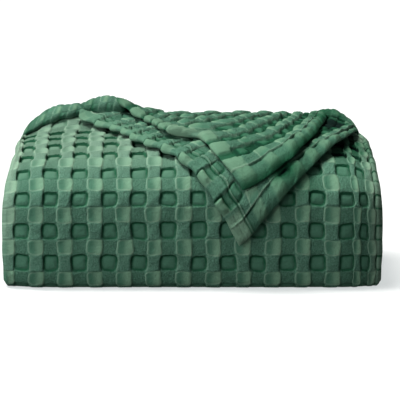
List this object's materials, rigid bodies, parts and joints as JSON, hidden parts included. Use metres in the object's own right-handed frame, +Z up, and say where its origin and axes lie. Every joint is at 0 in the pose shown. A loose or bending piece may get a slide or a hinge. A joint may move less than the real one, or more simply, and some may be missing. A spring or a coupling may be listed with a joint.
{
  "type": "folded waffle weave blanket",
  "caption": "Waffle weave cotton blanket folded into a soft rectangular bundle, with its free corner turned back over the top.",
  "frame": {"origin": "centre of the bundle's box, on the surface that it rests on", "axes": "+X along the bundle's width, +Y from the front face to the back folds, +Z up"},
  "size_m": [0.41, 0.3071, 0.1934],
  "materials": {
    "cotton": "matt soft cotton in a deep waffle weave, muted green"
  },
  "bodies": {
    "root": {"blanket": "cotton"}
  },
  "joints": []
}
